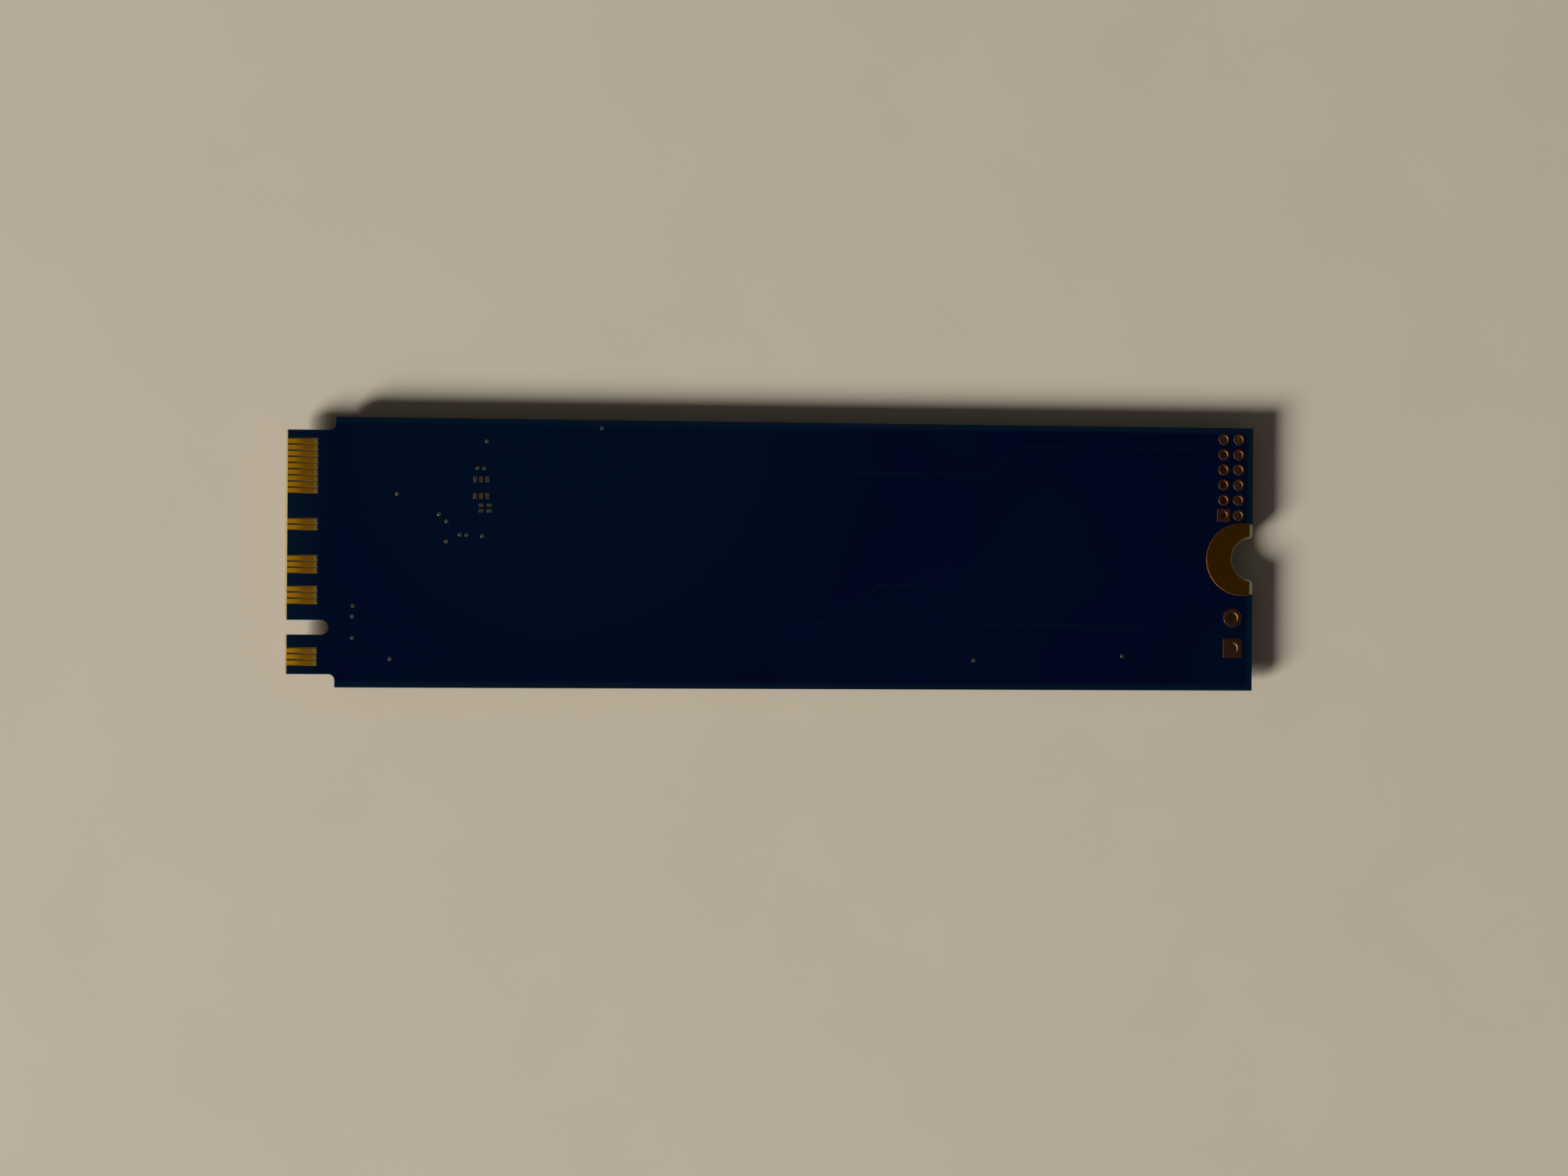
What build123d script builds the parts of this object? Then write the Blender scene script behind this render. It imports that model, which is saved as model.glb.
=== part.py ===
from build123d import *
import os

# Plug-in solid-state drive card, 22 by 80 mm, lying with its component side down.
# X runs from the plug-in tongue to the screw notch, Y across the card, Z up out of the bare back.
# The origin is the middle of the card's box, on the surface that its packages rest on.

# Card outline
board_length = 80.0
board_width = 22.0
board_thickness = 0.8
tongue_length = 4.0
shoulder_width = 1.075
shoulder_radius = 0.5
edge_bevel = 0.15
key_width = 1.2
key_depth = 3.5
copper = 0.035

# Sides of the small round forms, which repeat too often to be given more
hole_sides = 12
spot_sides = 8

# Contact fingers, numbered across the tongue with odd ones in front and even ones at the back
pin_count = 75
finger_margin = 0.675
finger_width = 0.35
finger_corner = 0.1
finger_length_back = 2.5
finger_length_front = 2.0
pins_beside_key = (58, 67)
back_pins = [*range(2, 19, 2), 28, 30, 40, 42, 44, 50, 52, 54, 70, 72, 74]
front_pins = [*range(1, 58, 2), *range(67, 76, 2)]

# Half-round screw notch and the bare ring round it
notch_radius = 1.75
notch_mouth_radius = 0.4
screw_pad_radius = 3.03
screw_pad_inset = 0.9
screw_pad_edge_gap = 0.3
screw_pad_notch_gap = 0.17

# Plated holes of the unfitted header and jumper, beside the screw ring
plating = 0.04
header_pitch = 1.27
header_hole_radius = 0.31
header_pad_diameter = 0.96
header_square_pad = 1.08
header_end_distance = 1.2
header_ring_gap = 0.13
header_edge_gap = 0.8
jumper_pitch = 2.54
jumper_hole_radius = 0.46
jumper_pad = 1.58
jumper_end_distance = 1.67
jumper_ring_gap = 1.08

# Probe spots on the back, from the middle of the card and its tongue edge, far end or long edge
probe_diameter = 0.32
probe_places = [(5.45, -4.35), (5.4, -5.2), (5.4, -6.95), (8.45, -8.65), (8.95, 4.8), (12.35, 3.15),
                (12.95, 2.6), (12.95, 0.95), (14.05, 1.5), (14.6, 1.5), (15.85, 1.4), (15.45, 6.95),
                (16.0, 6.95), (16.2, 9.15)]
far_probe_places = [(23.55, -8.55), (11.05, -8.15)]
edge_probe_place = (25.55, 0.65)

# Bare pads on the back for a six-pad part and a four-pad part
six_pad = (0.3, 0.48)
six_pad_step = (0.5, 1.36)
six_pad_place = (15.75, 5.36)
six_pad_columns = 3
four_pad = (0.4, 0.27)
four_pad_step = (0.65, 0.46)
four_pad_place = (16.08, 3.7)
four_pad_columns = 2
pad_rows = 2

# Chip packages on the component side, all of one height, which the card rests on
package_height = 1.2
package_gap = 3.4
dimple_radius = 0.4
dimple_depth = 0.04
dimple_inset = 1.3
controller_side = 12.0
controller_setback = 29.0
controller_substrate = 0.26
controller_ball_height = 0.2
controller_ball_diameter = 0.32
controller_ball_pitch = 0.8
controller_ball_count = 14
nand_width = 12.0
nand_length = 18.0
nand_substrate = 0.2
nand_ball_height = 0.25
nand_ball_diameter = 0.4
nand_ball_pitch = 1.0
nand_ball_columns = 11
nand_ball_rows = 17
nand_names = ["nand_1", "nand_2"]

# Supply section, between the tongue and the controller
land_thickness = 0.05
land_width = 0.25
inductor_length = 2.5
inductor_width = 2.0
inductor_height = 1.0
inductor_chamfer = 0.15
inductor_terminal = 0.55
inductor_terminal_width = 1.6
inductor_terminal_rise = 0.4
inductor_gap = 0.6
inductor_names = ["inductor_1", "inductor_2", "inductor_3"]
supply_setback = 4.3
supply_offset = 5.2
supply_gap = 0.9
power_chip_side = 4.0
power_chip_height = 0.75
power_land_length = 0.4
power_land_pitch = 0.5
power_land_count = 6
power_heat_land = 2.4
switch_side = 2.0
switch_height = 0.6
switch_land_length = 0.35
switch_land_pitch = 0.5
switch_land_count = 4
crystal_length = 2.5
crystal_width = 2.0
crystal_base_height = 0.4
crystal_lid_height = 0.15
crystal_lid_margin = 0.15
crystal_corner = 0.2
crystal_offset = -6.2

# Chip capacitors and resistors, as length, width, height and length of each metal end
bulk_size = (2.0, 1.25, 0.85, 0.4)
coupling_size = (0.6, 0.3, 0.3, 0.15)
decoupling_size = (1.0, 0.5, 0.5, 0.22)
resistor_size = (1.0, 0.5, 0.35, 0.2)
end_plating = 0.02
bulk_pitch = 1.9
bulk_count = 4
coupling_setback = 2.4
lane_pins = (5, 7, 17, 19, 29, 31, 41, 43)
column_gap = 0.7
decoupling_pitch = 1.6
decoupling_count = 7
resistor_rows = 4
resistor_row_pitch = 1.1
resistor_columns = 2
resistor_column_pitch = 1.9
resistor_setback = 5.5
resistor_offset = -4.2

# Levels and ends that follow from the sizes above
left = -board_length / 2
right = board_length / 2
front_z = package_height
back_z = front_z + board_thickness
tongue_width = board_width - 2 * shoulder_width
pin_step = (tongue_width - 2 * finger_margin) / (pin_count - 1)
shoulder_x = left + tongue_length

HANGING = (Align.CENTER, Align.CENTER, Align.MAX)
INWARD = (Align.MAX, Align.CENTER, Align.MAX)
STANDING = (Align.CENTER, Align.CENTER, Align.MIN)


def pin_y(pin):
    return ((pin_count + 1) / 2 - pin) * pin_step


def hung(x, y, gap=0.0):
    """A place on the component side, a gap below the board's face."""
    return Pos(x, y, front_z - gap)


def small_round(radius, sides):
    """A small circle drawn with few sides, flat side towards +Y."""
    return RegularPolygon(radius, sides, rotation=180 / sides)


def drilled(radius):
    """The space of a drilled hole, through the board and clear of both faces."""
    return extrude(small_round(radius, hole_sides), 2 * board_thickness, both=True)


# Board

def board_outline():
    body = Pos((shoulder_x + right) / 2, 0) * Rectangle(board_length - tongue_length, board_width)
    tongue = Pos(shoulder_x, 0) * Rectangle(tongue_length, tongue_width, align=(Align.MAX, Align.CENTER))
    outline = body + tongue
    shoulders = outline.vertices().group_by(Axis.X)[1].sort_by(Axis.Y)[1:3]
    outline = fillet(shoulders, shoulder_radius)
    key_y = sum(pin_y(pin) for pin in pins_beside_key) / len(pins_beside_key)
    key_end = left + key_depth - key_width / 2
    key = Pos(key_end, key_y) * Rectangle(key_depth, key_width, align=(Align.MAX, Align.CENTER))
    key += Pos(key_end, key_y) * Circle(key_width / 2)
    outline = outline - key - Pos(right, 0) * Circle(notch_radius)
    mouth = outline.vertices().group_by(Axis.X)[-1].sort_by(Axis.Y)[1:3]
    return fillet(mouth, notch_mouth_radius)


def make_board():
    board = extrude(Pos(0, 0, front_z) * board_outline(), board_thickness)
    board = chamfer(board.edges().filter_by(Axis.Y).group_by(Axis.X)[0], edge_bevel)
    middle_z = (front_z + back_z) / 2
    for x, y in header_places:
        board -= Pos(x, y, middle_z) * drilled(header_hole_radius + plating)
    for x, y in jumper_places:
        board -= Pos(x, y, middle_z) * drilled(jumper_hole_radius + plating)
    return board


# Bare copper and gold on both faces

def fingers(pins, length, z):
    outline = Rectangle(length - edge_bevel, finger_width, align=(Align.MIN, Align.CENTER))
    outline = chamfer(outline.vertices().group_by(Axis.X)[-1], finger_corner)
    return [Pos(left + edge_bevel, pin_y(pin), z) * extrude(outline, copper) for pin in pins]


def screw_pad(z):
    middle = right - screw_pad_inset
    ring = Pos(middle, 0) * Circle(screw_pad_radius)
    end_x = right - screw_pad_edge_gap
    ring &= Pos(end_x, 0) * Rectangle(board_length, board_width, align=(Align.MAX, Align.CENTER))
    ring += Pos(middle, 0) * Rectangle(end_x - middle, 2 * screw_pad_radius, align=(Align.MIN, Align.CENTER))
    ring -= Pos(right, 0) * Circle(notch_radius + screw_pad_notch_gap)
    return extrude(Pos(0, 0, z) * ring, copper)


def plated_hole(place, hole_radius, pad):
    x, y = place
    sleeve = extrude(small_round(hole_radius + plating, hole_sides), board_thickness)
    sleeve += Pos(0, 0, board_thickness) * extrude(pad, copper)
    sleeve += Pos(0, 0, -copper) * extrude(pad, copper)
    sleeve -= drilled(hole_radius)
    return Pos(x, y, front_z) * sleeve


def header_grid():
    first_y = screw_pad_radius + header_ring_gap + header_square_pad / 2
    rows = int((board_width / 2 - header_edge_gap - first_y) / header_pitch) + 1
    outer_x = right - header_end_distance
    columns = [outer_x - header_pitch, outer_x]
    return [(x, first_y + row * header_pitch) for row in range(rows) for x in columns]


def jumper_pair():
    first_y = -(screw_pad_radius + jumper_ring_gap + jumper_pad / 2)
    return [(right - jumper_end_distance, first_y - step * jumper_pitch) for step in range(2)]


def header_holes():
    pads = [Rectangle(header_square_pad, header_square_pad)]
    pads += [small_round(header_pad_diameter / 2, hole_sides)] * (len(header_places) - 1)
    return [plated_hole(place, header_hole_radius, pad) for place, pad in zip(header_places, pads)]


def jumper_holes():
    pads = [small_round(jumper_pad / 2, hole_sides), Rectangle(jumper_pad, jumper_pad)]
    return [plated_hole(place, jumper_hole_radius, pad) for place, pad in zip(jumper_places, pads)]


def probe_spots():
    places = [(left + x, y) for x, y in probe_places]
    places += [(right - x, y) for x, y in far_probe_places]
    x, edge_distance = edge_probe_place
    places.append((left + x, board_width / 2 - edge_distance))
    spot = extrude(small_round(probe_diameter / 2, spot_sides), copper)
    return [Pos(x, y, back_z) * spot for x, y in places]


def pad_grid(place, pad, step, columns):
    x, y = place
    grid = GridLocations(*step, columns, pad_rows)
    return [Pos(left + x, y, back_z) * spot * Box(*pad, copper, align=STANDING) for spot in grid]


def spare_pads():
    six = pad_grid(six_pad_place, six_pad, six_pad_step, six_pad_columns)
    return six + pad_grid(four_pad_place, four_pad, four_pad_step, four_pad_columns)


# Chip packages

def ring_of_balls(x, places, diameter, height):
    ball = extrude(small_round(diameter / 2, spot_sides), -height)
    return [hung(x + dx, dy) * ball for dx, dy in places]


def package(x, width, length, substrate, ball_height):
    base = hung(x, 0, ball_height) * Box(width, length, substrate, align=HANGING)
    moulding_height = package_height - ball_height - substrate
    moulding = Pos(x, 0, 0) * Box(width, length, moulding_height, align=STANDING)
    dimple = extrude(small_round(dimple_radius, hole_sides), dimple_depth)
    moulding -= Pos(x - width / 2 + dimple_inset, length / 2 - dimple_inset, 0) * dimple
    return base, moulding


def make_packages():
    nodes = {}
    x = left + controller_setback
    base, moulding = package(
        x, controller_side, controller_side, controller_substrate, controller_ball_height)
    pitch = controller_ball_pitch
    count = controller_ball_count
    grid = [(p.position.X, p.position.Y) for p in GridLocations(pitch, pitch, count, count)]
    inside = (count / 2 - 1) * pitch
    outer = [p for p in grid if max(abs(p[0]), abs(p[1])) > inside]
    nodes["controller_substrate"] = base
    nodes["controller_moulding"] = moulding
    nodes["controller_balls"] = ring_of_balls(x, outer, controller_ball_diameter, controller_ball_height)
    for name, x in zip(nand_names, nand_centres):
        base, moulding = package(x, nand_width, nand_length, nand_substrate, nand_ball_height)
        rows = GridLocations(nand_ball_pitch, (nand_ball_rows - 1) * nand_ball_pitch, nand_ball_columns, 2)
        end_rows = [(p.position.X, p.position.Y) for p in rows]
        nodes[f"{name}_substrate"] = base
        nodes[f"{name}_moulding"] = moulding
        nodes[f"{name}_balls"] = ring_of_balls(x, end_rows, nand_ball_diameter, nand_ball_height)
    return nodes


# Supply section

def land_row(count, pitch, length, reach):
    """Flat lands along the +X and -X sides of a leadless chip, flush with its sides."""
    land = Box(length, land_width, land_thickness, align=INWARD)
    steps = [(i - (count - 1) / 2) * pitch for i in range(count)]
    side = [Pos(reach, step) * land for step in steps]
    return side + [Rot(0, 0, 180) * piece for piece in side]


def make_power_chip(x, y):
    body = hung(x, y, land_thickness) * Box(
        power_chip_side, power_chip_side, power_chip_height - land_thickness, align=HANGING)
    pair = land_row(power_land_count, power_land_pitch, power_land_length, power_chip_side / 2)
    lands = pair + [Rot(0, 0, 90) * piece for piece in pair]
    lands.append(Box(power_heat_land, power_heat_land, land_thickness, align=HANGING))
    return body, [hung(x, y) * piece for piece in lands]


def make_switch(x, y):
    body = hung(x, y, land_thickness) * Box(
        switch_side, switch_side, switch_height - land_thickness, align=HANGING)
    lands = land_row(switch_land_count, switch_land_pitch, switch_land_length, switch_side / 2)
    return body, [hung(x, y) * piece for piece in lands]


def make_inductor(x, y):
    core_length = inductor_length - 2 * land_thickness
    core = Box(core_length, inductor_width, inductor_height - land_thickness, align=HANGING)
    core = chamfer(core.edges().filter_by(Axis.Z), inductor_chamfer)
    foot = Box(inductor_terminal, inductor_terminal_width, land_thickness, align=INWARD)
    rise = Box(land_thickness, inductor_terminal_width, inductor_terminal_rise, align=INWARD)
    terminal = Pos(inductor_length / 2, 0) * (foot + rise)
    ends = [terminal, Rot(0, 0, 180) * terminal]
    return hung(x, y, land_thickness) * core, [hung(x, y) * end for end in ends]


def make_crystal(x, y):
    base = Box(crystal_length, crystal_width, crystal_base_height, align=HANGING)
    base = chamfer(base.edges().filter_by(Axis.Z), crystal_corner)
    lid = Box(crystal_length - 2 * crystal_lid_margin, crystal_width - 2 * crystal_lid_margin,
              crystal_lid_height, align=HANGING)
    lid = chamfer(lid.edges().filter_by(Axis.Z), crystal_corner)
    return hung(x, y) * base, hung(x, y, crystal_base_height) * lid


def make_supply():
    nodes = {}
    terminals = []
    x = shoulder_x + supply_setback + inductor_length / 2
    step = inductor_width + inductor_gap
    for row, name in enumerate(inductor_names):
        y = supply_offset + (1 - row) * step
        nodes[name], ends = make_inductor(x, y)
        terminals += ends
    nodes["inductor_terminals"] = terminals
    nodes["power_chip"], nodes["power_chip_lands"] = make_power_chip(chip_x, supply_offset)
    switch_y = supply_offset + power_chip_side / 2 + supply_gap + switch_side / 2
    nodes["load_switch"], nodes["load_switch_lands"] = make_switch(chip_x, switch_y)
    nodes["crystal_base"], nodes["crystal_lid"] = make_crystal(bulk_x, crystal_offset)
    return nodes


# Chip capacitors and resistors

def chip_part(size):
    """A ceramic block between two metal ends, lying along X under the board."""
    length, width, height, end = size
    block = Pos(0, 0, -end_plating) * Box(
        length - 2 * end, width - 2 * end_plating, height - 2 * end_plating, align=HANGING)
    cap = Pos(length / 2, 0) * Box(end, width, height, align=INWARD)
    return block, [cap, Rot(0, 0, 180) * cap]


def chip_group(size, places, turn=0):
    block, caps = chip_part(size)
    turned = [hung(x, y) * Rot(0, 0, turn) for x, y in places]
    return [place * block for place in turned], [place * cap for place in turned for cap in caps]


def column(x, middle_y, pitch, count):
    return [(x, middle_y + (i - (count - 1) / 2) * pitch) for i in range(count)]


def make_chip_parts():
    nodes = {}
    bulk = column(bulk_x, supply_offset, bulk_pitch, bulk_count)
    nodes["bulk_capacitors"], nodes["bulk_capacitor_ends"] = chip_group(bulk_size, bulk)
    lanes = [(shoulder_x + coupling_setback, pin_y(pin)) for pin in lane_pins]
    nodes["coupling_capacitors"], nodes["coupling_capacitor_ends"] = chip_group(coupling_size, lanes)
    package_edges = [left + controller_setback + side * controller_side / 2 for side in (-1, 1)]
    package_edges += [x + nand_width / 2 for x in nand_centres]
    outward = [-1, 1, 1, 1]
    reach = column_gap + decoupling_size[0] / 2
    places = []
    for edge_x, way in zip(package_edges, outward):
        places += column(edge_x + way * reach, 0, decoupling_pitch, decoupling_count)
    nodes["decoupling_capacitors"], nodes["decoupling_capacitor_ends"] = chip_group(decoupling_size, places)
    places = []
    for step in range(resistor_columns):
        x = shoulder_x + resistor_setback + step * resistor_column_pitch
        places += [(x, resistor_offset - row * resistor_row_pitch) for row in range(resistor_rows)]
    nodes["resistors"], nodes["resistor_ends"] = chip_group(resistor_size, places)
    return nodes


header_places = header_grid()
jumper_places = jumper_pair()
chip_x = shoulder_x + supply_setback + inductor_length + supply_gap + power_chip_side / 2
bulk_x = chip_x + power_chip_side / 2 + supply_gap + bulk_size[0] / 2
nand_centres = [left + controller_setback + controller_side / 2 + package_gap + nand_width / 2]
nand_centres.append(nand_centres[0] + nand_width + package_gap)

nodes = {
    "board": make_board(),
    "contacts_back": fingers(back_pins, finger_length_back, back_z),
    "contacts_front": fingers(front_pins, finger_length_front, front_z - copper),
    "screw_pad_back": screw_pad(back_z),
    "screw_pad_front": screw_pad(front_z - copper),
    "header_holes": header_holes(),
    "jumper_holes": jumper_holes(),
    "test_pads": probe_spots(),
    "spare_pads": spare_pads(),
    **make_packages(),
    **make_supply(),
    **make_chip_parts(),
}

os.makedirs("parts", exist_ok=True)
for name, shape in nodes.items():
    if isinstance(shape, list):
        shape = Compound(children=shape)
    export_step(shape, f"parts/{name}.step")
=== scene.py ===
"""Looks of a plug-in solid-state drive card, lying with its component side down.

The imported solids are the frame. The board and the lands under the leadless chips keep their solids and get
their finish here. Contacts, plated holes, pads, solder balls, packages and chips are made again with their
small edges, and stand for their solids. The solder at the chips' ends is added here.
"""
import math

import bmesh
import bpy
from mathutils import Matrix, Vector


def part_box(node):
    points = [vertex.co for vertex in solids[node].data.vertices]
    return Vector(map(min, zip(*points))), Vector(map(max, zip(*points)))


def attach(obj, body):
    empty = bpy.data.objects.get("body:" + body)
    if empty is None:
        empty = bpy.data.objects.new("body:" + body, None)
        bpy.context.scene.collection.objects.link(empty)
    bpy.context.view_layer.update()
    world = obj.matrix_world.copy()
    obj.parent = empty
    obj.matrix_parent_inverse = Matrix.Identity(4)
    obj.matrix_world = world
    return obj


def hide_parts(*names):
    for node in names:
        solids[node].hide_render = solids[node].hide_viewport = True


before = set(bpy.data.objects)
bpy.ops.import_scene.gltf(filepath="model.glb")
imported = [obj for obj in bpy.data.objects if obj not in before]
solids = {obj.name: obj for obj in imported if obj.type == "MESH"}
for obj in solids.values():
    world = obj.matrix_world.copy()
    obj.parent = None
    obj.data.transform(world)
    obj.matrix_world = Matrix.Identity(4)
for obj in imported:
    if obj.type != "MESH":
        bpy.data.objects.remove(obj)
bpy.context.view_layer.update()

# Metres in a millimetre, and the distance within which two corners are one
MM = 0.001
TOUCH = 0.0005 * MM

# Levels and ends of the board, read from its solid
board_low, board_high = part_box("board")
FRONT = board_low.z
BACK = board_high.z
THICKNESS = BACK - FRONT
TIP = board_low.x
END = board_high.x
SIDE = board_high.y

# Bare copper, read from the ring round the screw notch and from the contacts
ring_low, ring_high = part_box("screw_pad_back")
COPPER = ring_high.z - BACK
RING_RADIUS = (ring_high.y - ring_low.y) / 2
RING_X = ring_low.x + RING_RADIUS
CONTACT_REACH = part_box("contacts_back")[1].x

# Wall of the plated holes, and the widest gap between contacts of one run
PLATING = 0.04 * MM
NEIGHBOUR_GAP = 0.3 * MM

# Margins of the mask round bare copper, and of the copper areas under the mask
MASK_MARGIN = 0.06 * MM
MASK_FADE = 0.03 * MM
EDGE_BAND = 0.45 * MM
EDGE_FADE = 0.2 * MM

# Gaps between the copper areas under the mask, with their corners in millimetres
GAP_WIDTH = 0.1 * MM
GAP_DEPTH = 0.4
COPPER_GAPS = (
    [(-6.0, -5.5), (5.1, -5.5), (8.4, -2.4), (12.2, -2.4), (15.4, -5.6), (31.0, -5.6)],
    [(4.4, 10.4), (4.4, 8.9), (6.5, 6.9), (18.0, 6.9), (20.3, 9.2), (35.0, 9.2)],
)

# Sides of the round forms
HOLE_SIDES = 32
PAD_SIDES = 40

# Solder at the chips' ends, as shares of the metal end's height and width
FILLET_REACH = 0.32
FILLET_HEIGHT = 0.6
FILLET_WIDTH = 0.94

# Solder balls under the packages, with a bare window in the middle
CONTROLLER_ROWS = {"Pitch": 0.8 * MM, "Columns": 14, "Rows": 14,
                   "Bare_Width": 4.0 * MM, "Bare_Length": 4.0 * MM}
NAND_ROWS = {"Pitch": 1.0 * MM, "Columns": 11, "Rows": 17,
             "Bare_Width": 2.5 * MM, "Bare_Length": 18.0 * MM}


# Node trees

class Nodes:
    """A node tree being put together. Its methods add a node and give back what comes out of it."""

    def __init__(self, tree):
        self.tree = tree

    def add(self, kind, **settings):
        node = self.tree.nodes.new(kind)
        for name, value in settings.items():
            setattr(node, name, value)
        return node

    def feed(self, socket, value):
        """Links an output to a socket, or sets a plain value on it."""
        if isinstance(value, bpy.types.NodeSocket):
            self.tree.links.new(value, socket)
        else:
            socket.default_value = value

    def run(self, node, **inputs):
        """Adds a node, or takes one, feeds its inputs by name and gives back its first output."""
        if isinstance(node, str):
            node = self.add(node)
        for name, value in inputs.items():
            self.feed(node.inputs[name.replace("_", " ").strip()], value)
        return node.outputs[0]

    def math(self, operation, *values):
        node = self.add("ShaderNodeMath", operation=operation)
        for socket, value in zip(node.inputs, values):
            self.feed(socket, value)
        return node.outputs[0]

    def product(self, first, *others):
        for other in others:
            first = self.math("MULTIPLY", first, other)
        return first

    def step(self, value, low, high, start=0.0, stop=1.0):
        """Goes smoothly from start to stop as value goes from low to high."""
        node = self.add("ShaderNodeMapRange", interpolation_type="SMOOTHSTEP")
        for socket, given in zip(node.inputs, (value, low, high, start, stop)):
            self.feed(socket, given)
        return node.outputs[0]

    def axes(self, vector):
        node = self.add("ShaderNodeSeparateXYZ")
        self.feed(node.inputs[0], vector)
        return node.outputs[:3]

    def vector(self, x=0.0, y=0.0, z=0.0):
        return self.run("ShaderNodeCombineXYZ", X=x, Y=y, Z=z)


class Finish(Nodes):
    """A material whose patterns read the piece's own coordinates, in metres."""

    def __init__(self, name):
        self.material = bpy.data.materials.new(name)
        self.material.use_nodes = True
        super().__init__(self.material.node_tree)
        self.shader = self.tree.nodes["Principled BSDF"]
        source = self.add("ShaderNodeTexCoord")
        self.place = source.outputs["Object"]
        self.normal = source.outputs["Normal"]

    def stretched(self, x, y, z):
        """The piece's coordinates with each axis multiplied, so that a small factor draws a pattern out."""
        return self.run("ShaderNodeMapping", Vector=self.place, Scale=(x, y, z))

    def noise(self, size, detail=3.0, rough=0.5, at=None):
        """Cloudy noise from 0 to 1 whose spots have about this size."""
        return self.run("ShaderNodeTexNoise", Vector=at or self.place, Scale=1 / size, Detail=detail,
                        Roughness=rough)

    def grains(self, size):
        """Distance from the middle of scattered grains of about this size."""
        return self.run("ShaderNodeTexVoronoi", Vector=self.place, Scale=1 / size)

    def mix(self, share, first, second):
        """A colour between two others."""
        node = self.add("ShaderNodeMix", data_type="RGBA")
        for socket, value in zip((node.inputs[0], node.inputs[6], node.inputs[7]), (share, first, second)):
            self.feed(socket, (*value, 1.0) if isinstance(value, tuple) else value)
        return node.outputs[2]

    def blend(self, share, first, second):
        """A number between two others."""
        node = self.add("ShaderNodeMix", data_type="FLOAT")
        for socket, value in zip((node.inputs[0], node.inputs[2], node.inputs[3]), (share, first, second)):
            self.feed(socket, value)
        return node.outputs[0]

    def relief(self, height, depth, over=None):
        """A normal for a surface that rises by depth where height is 1, over another relief if given."""
        node = self.add("ShaderNodeBump")
        bumpy = self.run(node, Height=height, Distance=depth)
        if over is not None:
            self.feed(node.inputs["Normal"], over)
        return bumpy

    def away_from(self, x, y):
        """Distance across the card from an upright line at a place."""
        here = self.run("ShaderNodeMapping", Vector=self.place, Location=(-x, -y, 0.0),
                        Scale=(1.0, 1.0, 0.0))
        length = self.add("ShaderNodeVectorMath", operation="LENGTH")
        self.feed(length.inputs[0], here)
        return length.outputs["Value"]

    def set(self, **sockets):
        for name, value in sockets.items():
            if isinstance(value, tuple):
                value = (*value, 1.0)
            self.feed(self.shader.inputs[name.replace("_", " ")], value)
        return self.material


class Pattern(Nodes):
    """A tree of geometry nodes that puts one form at each point of a mesh, turned by that point's angle."""

    def __init__(self, name):
        super().__init__(bpy.data.node_groups.new(name, "GeometryNodeTree"))
        sockets = self.tree.interface
        sockets.new_socket("Points", in_out="INPUT", socket_type="NodeSocketGeometry")
        sockets.new_socket("Geometry", in_out="OUTPUT", socket_type="NodeSocketGeometry")
        self.given = self.add("NodeGroupInput")
        self.result = self.add("NodeGroupOutput")

    def size(self, name, kind="Float"):
        """A named input of the tree."""
        self.tree.interface.new_socket(name, in_out="INPUT", socket_type="NodeSocket" + kind)
        return self.given.outputs[name]

    def half(self, value):
        return self.math("MULTIPLY", value, 0.5)

    def join(self, *parts):
        node = self.add("GeometryNodeJoinGeometry")
        for part in parts:
            self.feed(node.inputs[0], part)
        return node.outputs[0]

    def moved(self, form, z):
        return self.run("GeometryNodeTransform", Geometry=form, Translation=self.vector(z=z))

    def plate(self, outline, thickness):
        """A closed plate that stands on the outline."""
        sheet = self.run("GeometryNodeFillCurve", Curve=outline)
        up = self.vector(z=thickness)
        raised = self.run("GeometryNodeExtrudeMesh", Mesh=sheet, Offset=up, Individual=False)
        return self.join(raised, self.run("GeometryNodeFlipFaces", Mesh=sheet))

    def at_points(self, form, points):
        angle = self.run("GeometryNodeInputNamedAttribute", Name="turn")
        turned = self.vector(z=angle)
        return self.run("GeometryNodeInstanceOnPoints", Points=points, Instance=form, Rotation=turned)

    def end(self, form):
        """The form at every given point, as plain mesh."""
        copies = self.at_points(form, self.given.outputs["Points"])
        whole = self.run("GeometryNodeRealizeInstances", Geometry=copies)
        finish = self.size("Material", "Material")
        painted = self.run("GeometryNodeSetMaterial", Geometry=whole, Material=finish)
        self.feed(self.result.inputs[0], painted)
        return self.tree


# Patterns of what repeats

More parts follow.
